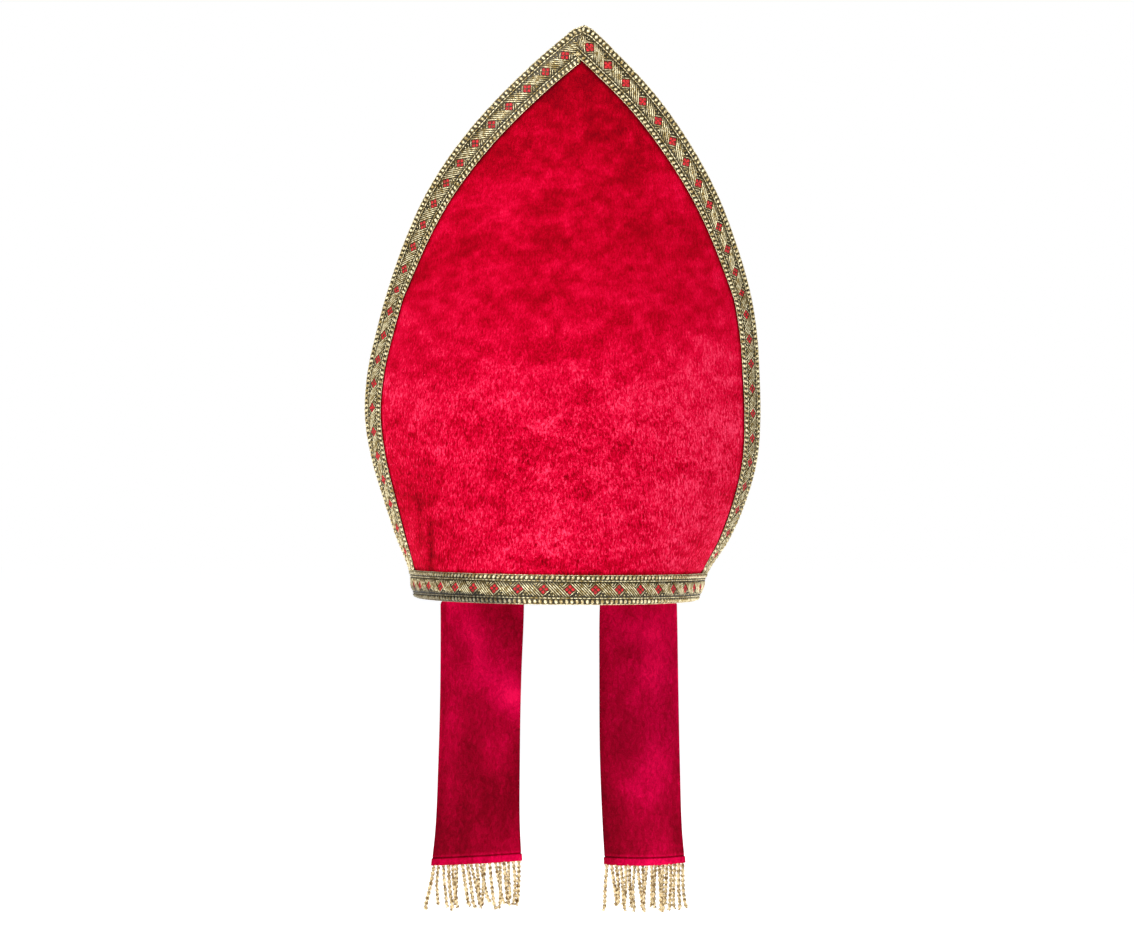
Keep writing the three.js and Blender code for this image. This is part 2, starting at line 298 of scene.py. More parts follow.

# Short-pile velvet with a silky shine: smoother, deeper crimson, with bright bands of painted
# sheen.
lappet_velvet = velvet(
    "crimson_silky_velvet",
    [(0.0, "#4C000C"), (1.0, "#F80C54"), (0.35, "#800018"), (0.6, "#AC002C"), (0.8, "#D40042")],
    1700,
    (420, 420, 260),
    "#FF0040",
    0.3,
    grain=0.42,
    roughness=0.65,
)


def metal_thread(name, bright, dark, metallic, roughness, twist):
    """Yarn wound round a core, which breaks its shine into short dashes. A point attribute dims it
    with painted shade at the hem ribbon's left end."""
    material, tree = new_material(name)
    kept = blend(tree, "SUBTRACT", 1.0, attribute(tree, "painted_shade"))
    winding = object_pattern(tree, (twist, twist, twist), roughness=0.6)
    colour = colour_ramp(tree, winding, [(0.4, dark), (0.58, bright)])
    dimmed = add_node(tree, "ShaderNodeHueSaturation", links={"Value": kept, "Color": colour})
    finish_surface(
        tree,
        {"Metallic": metallic, "Roughness": roughness},
        {"Base Color": dimmed.outputs[0], "Normal": bumped(tree, winding, 0.3, 0.0003)},
    )
    return material


# Metallic gold yarn, foil wound on a polyester core: glints and dark breaks a millimetre apart.
gold_thread = metal_thread("pale_gold_foil_yarn", "#FFF2C4", "#A88E50", 0.42, 0.3, 520)
# The ribbon's woven ground: the same yarn, olive, painted nearly black as the shade deep between
# the floats.
shaded_ground_thread = metal_thread("olive_ground_weave_painted_shade", "#50441E", "#0C0903", 0.3, 0.5, 900)
# Viscose pattern yarn, soft and dull, in small raised lozenges.
red_thread = metal_thread("red_viscose_yarn", "#E01824", "#90040E", 0.0, 0.6, 1000)
# Bullion cord: pale gold rayon laid two-ply, soft shine on each turn.
bullion = metal_thread("cream_gold_bullion", "#F6E2B2", "#7C5E2C", 0.1, 0.5, 620)


# ---------------------------------------------------------------- shape of the hat


def column(table, key, z):
    """A column of a table at heights z: a smooth curve through its rows."""
    at, value = table["z"], table[key]
    if at[1] < at[0]:
        at, value = at[::-1], value[::-1]
    z = np.asarray(z, float)
    gap = np.diff(at)
    slope = np.diff(value) / gap
    tangent = np.concatenate(
        [
            slope[:1],
            (slope[:-1] * gap[1:] + slope[1:] * gap[:-1]) / (gap[:-1] + gap[1:]),
            slope[-1:],
        ]
    )
    i = np.clip(np.searchsorted(at, z, side="right") - 1, 0, len(gap) - 1)
    t = np.clip((z - at[i]) / gap[i], 0, 1)
    return (
        (2 * t**3 - 3 * t**2 + 1) * value[i]
        + (t**3 - 2 * t**2 + t) * gap[i] * tangent[i]
        + (3 * t**2 - 2 * t**3) * value[i + 1]
        + (t**3 - t**2) * gap[i] * tangent[i + 1]
    )


def smooth(low, high, value):
    t = np.clip((value - low) / (high - low), 0, 1)
    return t * t * (3 - 2 * t)


def panel_point(side, u, z):
    """A panel's outer face: u from -1 at the left edge to 1 at the right, side -1 in front."""
    left, right = column(SECTIONS, "left", z), column(SECTIONS, "right", z)
    arc = np.radians(column(SECTIONS, "arc", z))
    cleft = np.maximum(column(SECTIONS, "cleft", z), GAP / 2)
    crown = column(SECTIONS, "crown", z)
    x = (left + right) / 2 + (right - left) / 2 * np.sin(u * arc) / np.sin(arc)
    bulge = (np.cos(u * arc) - np.cos(arc)) / (1 - np.cos(arc))
    return np.stack(np.broadcast_arrays(x, side * (cleft + (crown - cleft) * bulge), z), -1)


def panel_slopes(side, u, z):
    """A panel's point, and how it moves with u and with z."""
    du = 0.002
    dz = np.where(z > TIP - 0.1, -0.05, 0.05)
    here = panel_point(side, u, z)
    along = (panel_point(side, u + du, z) - here) / du
    up = (panel_point(side, u, z + dz) - here) / dz[..., None]
    return here, along, up


def unit(vectors):
    return vectors / np.linalg.norm(vectors, axis=-1, keepdims=True)


def panel_normal(side, u, z):
    _, along, up = panel_slopes(side, u, z)
    return unit(np.cross(along, up)) * -side


def cloud(x, y, size, seed, octaves=3):
    """Soft random patches from 0 to 1, of a size in millimetres, the same ones each time."""
    total, weight, share = np.zeros(np.shape(x)), 0.0, 1.0
    for k in range(octaves):
        values = np.random.default_rng(seed + k).random((97, 97))
        a, b = np.asarray(x) / size * 2**k + 41.3, np.asarray(y) / size * 2**k + 37.7
        i, j = np.floor(a).astype(int), np.floor(b).astype(int)
        s, t = smooth(0, 1, a - i), smooth(0, 1, b - j)
        i, j = i % 96, j % 96
        low = values[i, j] * (1 - s) + values[i + 1, j] * s
        high = values[i, j + 1] * (1 - s) + values[i + 1, j + 1] * s
        total += share * (low * (1 - t) + high * t)
        weight += share
        share *= 0.5
    return total / weight


def leaned(points):
    """The hat's own place for points, turned as the hat sits."""
    x, y, z = points[..., 0], points[..., 1], points[..., 2]
    c, s = math.cos(LEAN), math.sin(LEAN)
    return np.stack([x * c + z * s, y, z * c - x * s], -1)


def new_piece(name, points, faces, materials, face_slots=None, smoothed=True):
    """A mesh piece from points in millimetres."""
    mesh = bpy.data.meshes.new(name)
    mesh.from_pydata((np.asarray(points) * MM).tolist(), [], [list(f) for f in faces])
    for material in materials:
        mesh.materials.append(material)
    if face_slots is not None:
        mesh.polygons.foreach_set("material_index", np.asarray(face_slots, np.int32))
    if smoothed:
        mesh.polygons.foreach_set("use_smooth", np.ones(len(mesh.polygons), bool))
    mesh.update()
    piece = bpy.data.objects.new(name, mesh)
    bpy.context.scene.collection.objects.link(piece)
    return piece


def cloth_mesh(outer, inner, looped=False):
    """Points and faces of a cloth from its two faces, closed by a rim."""
    rows, columns = outer.shape[:2]
    number = np.arange(2 * rows * columns).reshape(2, rows, columns)
    if looped:
        number = np.concatenate([number, number[:, :, :1]], 2)
    out, inn = number

    def quads(a, b, c, d):
        return np.stack([a, b, c, d], -1).reshape(-1, 4)

    faces = [
        quads(out[:-1, :-1], out[:-1, 1:], out[1:, 1:], out[1:, :-1]),
        quads(inn[:-1, :-1], inn[1:, :-1], inn[1:, 1:], inn[:-1, 1:]),
        quads(out[0, :-1], inn[0, :-1], inn[0, 1:], out[0, 1:]),
        quads(out[-1, :-1], out[-1, 1:], inn[-1, 1:], inn[-1, :-1]),
    ]
    if not looped:
        faces += [
            quads(out[:-1, 0], out[1:, 0], inn[1:, 0], inn[:-1, 0]),
            quads(out[:-1, -1], inn[:-1, -1], inn[1:, -1], out[1:, -1]),
        ]
    points = np.concatenate([outer.reshape(-1, 3), inner.reshape(-1, 3)])
    faces = np.concatenate(faces)
    a, b, c, d = (points[faces[:, k]] for k in range(4))
    volume = (a * np.cross(b, c)).sum() + (a * np.cross(c, d)).sum()
    return points, faces if volume > 0 else faces[:, ::-1]


def set_value(piece, name, values):
    """Gives a piece a named value at each of its points, for its material to read."""
    layer = piece.data.attributes.new(name, "FLOAT", "POINT")
    every = np.broadcast_to(np.asarray(values, np.float32).ravel(), len(piece.data.vertices))
    layer.data.foreach_set("value", every)


def set_pile(piece, pile_and_painted_light, tuft):
    """How bright the pile is at each point, from 0, dark, to 1, bright: brushed patches with
    painted sheen and painted shade; and how much its tufts stand apart."""
    set_value(piece, "pile_and_painted_light", pile_and_painted_light)
    set_value(piece, "tuft", tuft)


def outline_heights(low, high, count, key):
    """Heights from low to high, evenly spaced along the hat's outline."""
    z = np.linspace(low, high, 1200)
    x = column(SECTIONS, key, z)
    run = np.concatenate([[0], np.cumsum(np.hypot(np.diff(x), np.diff(z)))])
    return np.interp(np.linspace(0, run[-1], count + 1), run, z)


# ---------------------------------------------------------------- velvet panels

PANEL_COLUMNS = 130
PANEL_ROWS = 190
PANEL_LOW = 0.7
PANEL_TOP = TIP - 1.8
PILE_PROUD = 0.9
RIBBON_PRESS = 0.25
RIBBON_SHADE = 0.3


def edge_distance(side, points):
    """How far points on a panel are from its nearer side edge."""
    z = outline_heights(0, TIP, 260, "right")
    nearest = np.full(len(points), 1e9)
    for end in (-1, 1):
        edge = panel_point(side, end, z)
        for part in np.array_split(np.arange(len(points)), 12):
            gaps = np.linalg.norm(points[part, None] - edge[None], axis=2)
            nearest[part] = np.minimum(nearest[part], gaps.min(1))
    return nearest


def creases(x, z):
    """Where the front's cloth is drawn in: two upright folds at the left, an arc by the hem."""
    upright = 0.8 * np.exp(-(((x + 81) / 1.9) ** 2)) * smooth(66, 56, z) * smooth(26, 40, z)
    upright += np.exp(-(((x + 74.5 + 0.02 * (z - 40)) / 1.7) ** 2)) * smooth(56, 44, z)
    arc = np.exp(-(((z - 23.5 - 0.006 * (x + 8) ** 2) / 1.8) ** 2)) * smooth(24, 8, abs(x + 8))
    return upright + 0.7 * arc


def panel_folds(side, x, z):
    """How far a panel's cloth stands proud or sinks between its sewn edges."""
    seed = 40 if side < 0 else 60
    folds = 1.1 * (cloud(x * 0.8, z, 46, seed) - 0.5) + 0.7 * (cloud(x, z, 17, seed + 5) - 0.5)
    if side > 0:
        return folds
    folds -= 0.8 * creases(x, z)
    folds += 0.5 * np.exp(-(((x - 10) / 3.0) ** 2)) * smooth(34, 44, z) * smooth(100, 60, z)
    return folds


def panel_pile_and_painted_light(side, x, z):
    """The pile's shade: brushed patches 26 and 6 mm across, brighter low down and darker on top, a
    brighter patch at the right, and painted shade low at the left and in the front's creases.
    """
    seed = 80 if side < 0 else 110
    pile_and_painted_light = 0.5 + 0.32 * (cloud(x, z * 1.8, 26, seed, 4) - 0.5)
    pile_and_painted_light += 0.42 * (cloud(x, z * 1.5, 6, seed + 9, 3) - 0.5)
    pile_and_painted_light += 0.15 * smooth(185, 110, z) - 0.02
    # Painted shade low at the left, round the folds.
    pile_and_painted_light -= 0.17 * np.exp(-(((x + 75) / 32) ** 2 + ((z - 45) / 42) ** 2))
    pile_and_painted_light += 0.1 * np.exp(-(((x - 88) / 30) ** 2 + ((z - 110) / 75) ** 2))
    pile_and_painted_light -= 0.2 * smooth(225, 330, z)
    # Painted shade in the front's creases.
    if side < 0:
        pile_and_painted_light -= 0.26 * creases(x, z) * (0.5 + cloud(x, z, 5, seed + 20, 2))
    return pile_and_painted_light


def make_panel(name, side, node):
    z = outline_heights(PANEL_LOW, PANEL_TOP, PANEL_ROWS, "right")
    u, z = np.meshgrid(np.linspace(-1, 1, PANEL_COLUMNS + 1), z)
    face = panel_point(side, u, z)
    normal = panel_normal(side, u, z)
    off_edge = edge_distance(side, face.reshape(-1, 3)).reshape(z.shape)
    # The pile stands free of the ribbon from just inside its edges.
    free = smooth(RIBBON_WIDTH - 0.3, RIBBON_WIDTH + 2.6, off_edge)
    free = free * smooth(HEM_HEIGHT - 0.3, HEM_HEIGHT + 2.6, z)
    wide = smooth(RIBBON_WIDTH, RIBBON_WIDTH + 14, off_edge) * smooth(HEM_HEIGHT, HEM_HEIGHT + 9, z)
    folds = panel_folds(side, face[..., 0], z) * np.clip(wide + 0.25 * free, 0, 1)
    proud = PILE_PROUD * free + folds - RIBBON_PRESS * (1 - free)
    outer = face + normal * proud[..., None]
    inner = face - normal * VELVET_WALL
    inner[..., 1] = side * np.maximum(side * inner[..., 1], GAP / 2)
    points, faces = cloth_mesh(outer, inner)
    piece = new_piece(name, leaned(points), faces, [panel_velvet])
    pile_and_painted_light = panel_pile_and_painted_light(side, face[..., 0], z)
    # Painted shadow lines in the pile along the ribbons' inner edges and the hem's top edge.
    for distance in (off_edge - RIBBON_WIDTH, z - HEM_HEIGHT):
        pile_and_painted_light -= RIBBON_SHADE * np.exp(-(((distance - 0.3) / 1.3) ** 2))
    tuft = 0.6 + 0.95 * smooth(190, 90, z).ravel()
    set_pile(piece, np.concatenate([pile_and_painted_light.ravel(), 0.3 + 0.5 * pile_and_painted_light.ravel()]), np.tile(tuft, 2))
    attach(piece, "root")
    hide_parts(node)
    return piece


front_velvet = make_panel("front_velvet", -1, "front_panel")
back_velvet = make_panel("back_velvet", 1, "back_panel")


GUSSET_STEPS = 56
GUSSET_COLUMNS = 36
VALLEY_ROUND = 0.1


def make_gusset():
    """The folded velvet between the panels' free edges, a valley from side to side."""
    climb = outline_heights(CLEFT_START, TIP - 3, GUSSET_STEPS, "left")
    fall = outline_heights(CLEFT_START, TIP - 3, GUSSET_STEPS, "right")[::-1]
    end = np.concatenate([np.full(len(climb), -1.0), np.full(len(fall), 1.0)])
    z = np.concatenate([climb, fall])
    rim = panel_point(-1, end, z) - panel_normal(-1, end, z) * (VELVET_WALL + GAP)
    depth = abs(rim[:, 1])
    q = np.linspace(-1, 1, GUSSET_COLUMNS + 1)[:, None]
    fold = (np.hypot(q, VALLEY_ROUND) - VALLEY_ROUND) / (math.hypot(1, VALLEY_ROUND) - VALLEY_ROUND)
    valley = np.minimum(VALLEY_HEIGHT + VALLEY_RISE * np.cos(rim[:, 0] / 70), z - 4)
    thick = GUSSET_WALL * np.hypot(1, (z - valley) / depth)
    x = rim[:, 0] + 0 * q
    height = valley + (z - thick - valley) * fold
    slack = (cloud(x, q * 60, 24, 140) - 0.5) * 2.4 * (1 - q**2) * smooth(0, 24, z - valley)
    faces = [np.stack([x, q * depth, height + slack + part * thick], -1) for part in (1, 0)]
    points, quads = cloth_mesh(*faces)
    piece = new_piece("gusset_velvet", leaned(points), quads, [panel_velvet])
    set_pile(piece, 0.32 + 0.4 * (cloud(points[:, 0], points[:, 2] * 2, 20, 150) - 0.5), 0.6)
    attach(piece, "root")
    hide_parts("gusset")
    return piece


gusset_velvet = make_gusset()


# ---------------------------------------------------------------- ribbon

RIBBON_REPEAT = 15.1
GRID_STEP = 1.0
POINT_STEPS = 2
ACROSS_STEPS = 36
HEM_STEPS = 1600


def deselected():
    for item in bpy.context.selected_objects:
        item.select_set(False)


def taken(item):
    """The points and faces of a modelled part, which is then put away."""
    mesh = item.data
    points = np.array([v.co for v in mesh.vertices])
    faces = [list(p.vertices) for p in mesh.polygons]
    bpy.data.objects.remove(item)
    return points, faces


def modelled_yarn(rings):
    """A length of yarn along X, one unit long and one thick, narrowed at its ends."""
    deselected()
    bpy.ops.mesh.primitive_cylinder_add(
        vertices=6, radius=0.5, depth=1, rotation=(0, math.radians(90), 0)
    )
    item = bpy.context.object
    bpy.ops.object.transform_apply(location=True, rotation=True, scale=True)
    bpy.ops.object.mode_set(mode="EDIT")
    shape = bmesh.from_edit_mesh(item.data)
    for edge in shape.edges:
        edge.select_set(abs(edge.verts[0].co.x - edge.verts[1].co.x) > 0.5)
    bmesh.update_edit_mesh(item.data)
    bpy.ops.mesh.subdivide(number_cuts=rings)
    for end in (-0.5, 0.5):
        shape = bmesh.from_edit_mesh(item.data)
        for part in (*shape.faces, *shape.edges, *shape.verts):
            part.select_set(False)
        for vert in shape.verts:
            vert.select_set(abs(vert.co.x - end) < 0.001)
        shape.select_flush_mode()
        bmesh.update_edit_mesh(item.data)
        bpy.ops.transform.resize(value=(1, 0.35, 0.35), center_override=(end, 0, 0))
    bpy.ops.object.mode_set(mode="OBJECT")
    return taken(item)


def modelled_pillow():
    """A small raised stitch, one unit long, wide and high, with its flat side down."""
    deselected()
    bpy.ops.mesh.primitive_uv_sphere_add(segments=8, ring_count=6, radius=0.5)
    item = bpy.context.object
    bpy.ops.object.mode_set(mode="EDIT")
    bpy.ops.mesh.select_all(action="SELECT")
    bpy.ops.mesh.bisect(
        plane_co=(0, 0, -0.2), plane_no=(0, 0, 1), clear_inner=True, use_fill=True
    )
    bpy.ops.object.mode_set(mode="OBJECT")
    return taken(item)


def modelled_lozenge():
    """A raised diamond of satin stitch, one unit long, wide and high, rounded on its edges."""
    deselected()
    bpy.ops.mesh.primitive_cone_add(vertices=4, radius1=0.5, radius2=0.26, depth=0.7)
    item = bpy.context.object
    bpy.ops.object.mode_set(mode="EDIT")
    bpy.ops.mesh.select_all(action="SELECT")
    bpy.ops.transform.translate(value=(0, 0, 0.15))
    bpy.ops.mesh.bevel(offset=0.09, segments=2)
    bpy.ops.object.mode_set(mode="OBJECT")
    return taken(item)


YARN = modelled_yarn(3)
YARN_FLATNESS = 0.8
PILLOW = modelled_pillow()
LOZENGE = modelled_lozenge()


class Flat:
    """A length of ribbon laid out flat: along it, across it and up from its back."""

    def __init__(self):
        self.points, self.faces, self.slots, self.count = [], [], [], 0

    def add(self, shape, slot, start, end, width, low, high, skew=0.0):
        """Lays a copy of a shape from start to end, arched up to high in its middle."""
        points, faces = shape
        start, end = np.array(start, float), np.array(end, float)
        run = end - start
        length = np.linalg.norm(run)
        along, across = run / length, np.array([-run[1], run[0]]) / length
        t = points[:, 0] + 0.5
        flat = start + np.outer(t, run) + np.outer(points[:, 1] * width, across)
        flat = flat + np.outer(points[:, 1] * skew, along)
        rise = low + (high - low) * np.sin(np.clip(t, 0, 1) * math.pi) ** 0.5
        if shape is YARN:
            up = rise + points[:, 2] * width * YARN_FLATNESS
        else:
            up = low + (points[:, 2] + 0.2) * (high - low)
        self.points.append(np.column_stack([flat, up]))
        self.faces += [[v + self.count for v in face] for face in faces]
        self.slots += [slot] * len(faces)
        self.count += len(points)


GOLD, GROUND, RED = 0, 1, 2


FLOATS = 5
FLOAT_PITCH = 1.68
FLOAT_WIDTH = 0.7
BEADS = 5
BEAD_SLANT = 0.5
DASHES = 6
SELVEDGE_DASHES = 8


def modelled_repeat():
    """One repeat of the ribbon's pattern, laid out flat, its lozenge at 0 along and half across."""
    tile = Flat()
    middle = RIBBON_WIDTH / 2
    repeat = RIBBON_REPEAT

    # Slanting floats between two lozenges.
    for k in range(FLOATS):
        first = 13.15 + FLOAT_PITCH * k
        top = 13.2 if k < FLOATS - 1 else 12.6
        low = 4.8 if k > 0 else 5.4
        start, end = (repeat - first + top, top), (repeat - first + low, low)
        tile.add(YARN, GOLD, start, end, FLOAT_WIDTH, 0.46, 0.8)
    # The lozenge: four small pads of red yarn on a red bed, with a pale thread round them.
    tile.add(LOZENGE, RED, (-2.3, middle), (2.3, middle), 4.3, 0.1, 0.45)
    for a, b in ((1.72, 0), (-1.72, 0), (0, 1.62), (0, -1.62)):
        tile.add(LOZENGE, RED, (a - 1.6, middle + b), (a + 1.6, middle + b), 3.0, 0.2, 0.95)
    for a, b in ((1, 1), (1, -1), (-1, 1), (-1, -1)):
        tile.add(
            YARN, GOLD, (a * 0.25, middle + b * 3.75), (a * 3.95, middle + b * 0.25), 0.42, 0.4, 0.5
        )
    # In the corners, a rosette in a V of thread and three small stitches.
    tile.add(PILLOW, GOLD, (repeat - 11.0, 12.35), (repeat - 10.0, 12.35), 1.0, 0.3, 1.0)
    foot = (repeat - 11.0, 10.6)
    for tip in ((repeat - 8.9, 12.9), (repeat - 13.1, 13.1)):
        tile.add(YARN, GOLD, foot, tip, 0.5, 0.4, 0.5)
    for a, b in ((4.5, 7.3), (3.5, 5.7), (5.9, 5.6)):
        tile.add(PILLOW, GOLD, (repeat - a - 0.45, b), (repeat - a + 0.45, b), 0.95, 0.3, 0.95)
    # Borders of slanted beads, with a dashed cord inside each and a dashed selvedge outside.
    for low, slant in ((0.55, BEAD_SLANT), (RIBBON_WIDTH - 3.05, -BEAD_SLANT)):
        for k in range(BEADS):
            a = (k + 0.5) * repeat / BEADS
            start, end = (a - slant, low + 0.1), (a + slant, low + 2.4)
            tile.add(YARN, GOLD, start, end, 1.85, 0.3, 0.5, 0.2)
    for across in (3.85, RIBBON_WIDTH - 3.85):
        for k in range(DASHES):
            a = k * repeat / DASHES
            start, end = (a + 0.12, across), (a + repeat / DASHES - 0.12, across)
            tile.add(YARN, GOLD, start, end, 0.72, 0.36, 0.5)
    for across in (0.22, RIBBON_WIDTH - 0.22):
        for k in range(SELVEDGE_DASHES):
            a = k * repeat / SELVEDGE_DASHES
            start, end = (a, across), (a + repeat / SELVEDGE_DASHES + 0.1, across)
            tile.add(YARN, GOLD, start, end, 0.5, 0.3, 0.36)
    return np.concatenate(tile.points), tile.faces, tile.slots


REPEAT_POINTS, REPEAT_FACES, REPEAT_SLOTS = modelled_repeat()


def edge_run(side, end):
    """The ribbon's path up a panel's edge: heights evenly spaced along it, and its length."""
    z = np.linspace(HEM_HEIGHT - 1.0, TIP - 0.05, 3000)
    edge = panel_point(side, float(end), z)
    run = np.concatenate([[0], np.cumsum(np.linalg.norm(np.diff(edge, axis=0), axis=1))])
    count = int(round(run[-1] / GRID_STEP))
    return np.interp(np.linspace(0, run[-1], count + 1), run, z), run[-1]


def edge_grid(side, end):
    """Places and normals under a side ribbon, by steps along the edge and across the ribbon."""
    z, length = edge_run(side, end)
    u = np.full(len(z), float(end))
    edge = panel_point(side, u, z)
    tangent = unit(np.gradient(edge, axis=0))
    heading = unit(np.cross(panel_normal(side, u, z), tangent))
    inward = np.sign((heading * (panel_point(side, 0 * u, z) - edge)).sum(1))
    heading *= inward[:, None]
    places, normals = [edge], [panel_normal(side, u, z)]
    for _ in range(ACROSS_STEPS):
        # The steps in u and z that move a short way along the heading, on the panel.
        _, along, up = panel_slopes(side, u, z)
        a, b, c = (along * along).sum(1), (along * up).sum(1), (up * up).sum(1)
        p, q = (heading * along).sum(1), (heading * up).sum(1)
        share = a * c - b * b
        u = u + (p * c - q * b) / share * RIBBON_WIDTH / ACROSS_STEPS
        z = z + (q * a - p * b) / share * RIBBON_WIDTH / ACROSS_STEPS
        places.append(panel_point(side, u, z))
        normals.append(panel_normal(side, u, z))
    places, normals = np.array(places), np.array(normals)
    for _ in range(POINT_STEPS):
        places = np.concatenate([places, places[:, -1:] + tangent[-1] * GRID_STEP], 1)
        normals = np.concatenate([normals, normals[:, -1:]], 1)
    return places, normals, length + POINT_STEPS * GRID_STEP


def hem_grid():
    """The same round the hem, from the middle of the back, as one closed loop."""
    around = (np.linspace(0, 4, HEM_STEPS + 1) + 3) % 4
    front = (around < 2)[:, None]
    u = np.clip(np.where(around < 2, 1 - around, around - 3), -0.995, 0.995)
    places, normals = [], []
    for row in np.linspace(0, 1, ACROSS_STEPS + 1):
        z = np.full(len(u), row * HEM_HEIGHT)
        point = np.where(front, panel_point(-1, u, z), panel_point(1, u, z))
        normal = np.where(front, panel_normal(-1, u, z), panel_normal(1, u, z))
        # Rounded across its width, and drawn in under its lower edge.
        crowned = 0.9 * math.sin(math.pi * row) - 0.9 * max(0, 1 - row / 0.16) ** 2
        tilt = -0.3 * math.cos(math.pi * row)
        places.append(point + normal * crowned)
        normals.append(unit(normal + np.array([0, 0, tilt])))
    run = np.linalg.norm(np.diff(places[ACROSS_STEPS // 2], axis=0), axis=1)
    run = np.concatenate([[0], np.cumsum(run)])
    at = np.linspace(0, run[-1], int(round(run[-1] / GRID_STEP)) + 1)

    def even(row):
        return np.column_stack([np.interp(at, run, row[:, k]) for k in range(3)])

    evened = [np.array([even(row) for row in grid]) for grid in (places, normals)]
    return *evened, run[-1]


def on_grid(places, normals, length, along, across, up):
    """Points of a flat ribbon, bent onto its grid."""
    rows, columns = places.shape[:2]
    a = np.clip(along / length * (columns - 1), 0, columns - 1.001)
    b = np.clip(across / RIBBON_WIDTH * (rows - 1), 0, rows - 1.001)
    i, j = b.astype(int), a.astype(int)
    s, t = (b - i)[:, None], (a - j)[:, None]
    spread = (across - np.clip(across, 0, RIBBON_WIDTH))[:, None]

    def at(grid):
        low = grid[i, j] * (1 - t) + grid[i, j + 1] * t
        high = grid[i + 1, j] * (1 - t) + grid[i + 1, j + 1] * t
        return low * (1 - s) + high * s

    sideways = unit(places[-1, j] - places[0, j])
    return at(places) + unit(at(normals)) * (GAP + up)[:, None] + sideways * spread


# Across the ribbon and up from its back: selvedges, beds for the beads and cords, and the field.
GROUND_PROFILE = [
    (0.0, 0.15),
    (0.25, 0.36),
    (0.5, 0.3),
    (1.75, 0.45),
    (3.05, 0.3),
    (3.35, 0.1),
    (3.85, 0.28),
    (4.35, 0.12),
    (4.8, 0.34),
    (9.0, 0.36),
]
GROUND_PROFILE += [(RIBBON_WIDTH - w, h) for w, h in GROUND_PROFILE[-2::-1]]


MITRE_FOOT = (7.4, 323.4)
RIGHT_RIBBON_LIFT = 0.95
LEFT_RIBBON_OVERLAP = 4.0


def mitred(piece, side_of_line, overlap):
    """Cuts a ribbon off along the slanting mitre below the point."""
    top = np.array([POINT_X, TIP])
    line = unit(np.array(MITRE_FOOT) - top)
    across = np.array([-line[1], line[0]]) * side_of_line
    place = leaned(np.array([top[0] + overlap * across[0], 0, top[1] + overlap * across[1]]))
    shape = bmesh.new()
    shape.from_mesh(piece.data)
    cut = bmesh.ops.bisect_plane(
        shape,
        geom=[*shape.verts, *shape.edges, *shape.faces],
        dist=1e-7,
        plane_co=place * MM,
        plane_no=(across[0], 0, across[1]),
        clear_outer=True,
    )
    rim = [e for e in cut["geom_cut"] if isinstance(e, bmesh.types.BMEdge) and e.is_boundary]
    bmesh.ops.holes_fill(shape, edges=rim, sides=0)
    shape.to_mesh(piece.data)
    shape.free()


WEAVE_PITCH = 1.5
FIRST_REPEAT = -3.0


class Bed:
    """What a ribbon is laid on: its grid, its length, and how it climbs at the point."""

    def __init__(self, grid, backwards, loop, lifted):
        self.places, self.normals, self.length = grid
        if backwards:
            self.places, self.normals = self.places[:, ::-1], self.normals[:, ::-1]
        self.backwards, self.loop, self.lifted = backwards, loop, lifted

    def laid(self, along, across, up):
        ends = (26, 6) if self.backwards else (self.length - 26, self.length - 6)
        climb = self.lifted * smooth(*ends, along)
        return on_grid(self.places, self.normals, self.length, along, across, up + climb)


def ribbon_ground(name, bed):
    """The woven ground strip."""
    count = int(bed.length / WEAVE_PITCH)
    s = np.linspace(0, bed.length, count + 1)[:, None]
    w, top = np.array(GROUND_PROFILE).T[:, None]
    weave = 0.05 * np.cos(s / (WEAVE_PITCH / 2) * math.pi + w)
    s, w, top, weave = (v.ravel() for v in np.broadcast_arrays(s, w, top, weave))
    shape = (count + 1, len(GROUND_PROFILE), 3)
    faces = [bed.laid(s, w, height).reshape(shape) for height in (top + weave, 0 * top)]
    if bed.loop:
        faces = [face[:-1].transpose(1, 0, 2) for face in faces]
    points, quads = cloth_mesh(*faces, looped=bed.loop)
    return new_piece(name, leaned(points), quads, [shaded_ground_thread])


def ribbon_threads(name, bed):
    """The pattern threads: copies of the repeat, without the stitches cut by the ribbon's ends."""
    if bed.loop:
        repeats = int(round(bed.length / RIBBON_REPEAT))
        pitch, first, reach = bed.length / repeats, 0.0, bed.length / 2
    else:
        repeats = int(bed.length / RIBBON_REPEAT) + 1
        pitch, first, reach = RIBBON_REPEAT, FIRST_REPEAT, bed.length
    starts = (np.arange(repeats) * pitch)[:, None]
    along = starts + REPEAT_POINTS[None, :, 0] * pitch / RIBBON_REPEAT + first
    if bed.loop:
        along = along % bed.length
    faces, slots = [], []
    for k in range(repeats):
        base = k * len(REPEAT_POINTS)
        for face, slot in zip(REPEAT_FACES, REPEAT_SLOTS):
            place = along[k, face]
            low, high = place.min(), place.max()
            if (high - low < reach) if bed.loop else (low >= 0 and high <= reach):
                faces.append([v + base for v in reversed(face)])
                slots.append(slot)
    across, up = (np.tile(REPEAT_POINTS[:, k], repeats) for k in (1, 2))
    points = bed.laid(along.ravel(), across, up)
    used = np.unique(np.concatenate([np.array(f) for f in faces]))
    renumber = np.zeros(len(points), int)
    renumber[used] = np.arange(len(used))
    faces = [renumber[f].tolist() for f in faces]
    yarns = [gold_thread, shaded_ground_thread, red_thread]
    return new_piece(name, leaned(points[used]), faces, yarns, slots)


def ribbon(name, grid, node, backwards=False, loop=False, lifted=0.0):
    """A ribbon on its grid: the woven ground strip, and the pattern threads over it."""
    bed = Bed(grid, backwards, loop, lifted)
    strip = ribbon_ground(name + "_ground", bed)
    threads = ribbon_threads(name + "_threads", bed)
    for piece in (strip, threads):
        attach(piece, "root")
    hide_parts(node)
    return strip, threads


